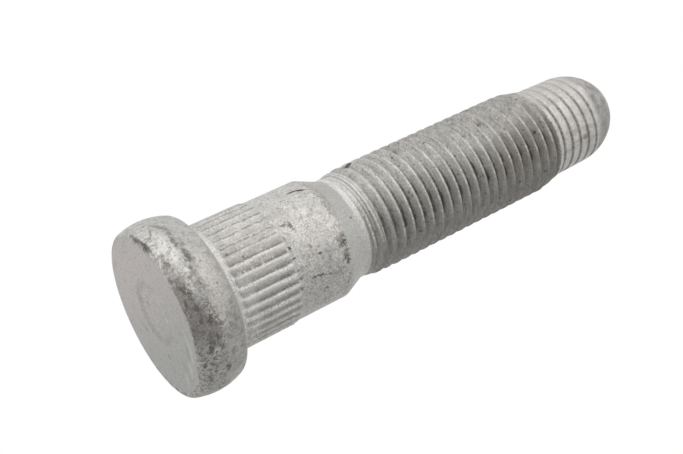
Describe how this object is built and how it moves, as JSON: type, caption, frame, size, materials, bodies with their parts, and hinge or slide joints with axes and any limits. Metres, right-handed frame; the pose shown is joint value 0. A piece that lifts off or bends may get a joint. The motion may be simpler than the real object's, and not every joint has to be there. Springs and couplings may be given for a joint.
{
  "type": "wheel stud",
  "caption": "Press-in wheel stud with a round head, a serrated shank, a plain shoulder, a fine thread and a domed pilot nose; it holds a road wheel on its hub.",
  "frame": {"origin": "centre of the head's outer face, on which the stud stands", "axes": "+Z along the stud's axis, from the head to the nose; X and Y are any two directions across it"},
  "size_m": [0.0212, 0.0212, 0.0711],
  "materials": {
    "coated_steel": "matte"
  },
  "bodies": {
    "root": {"wheel_stud": "coated_steel"}
  },
  "joints": []
}
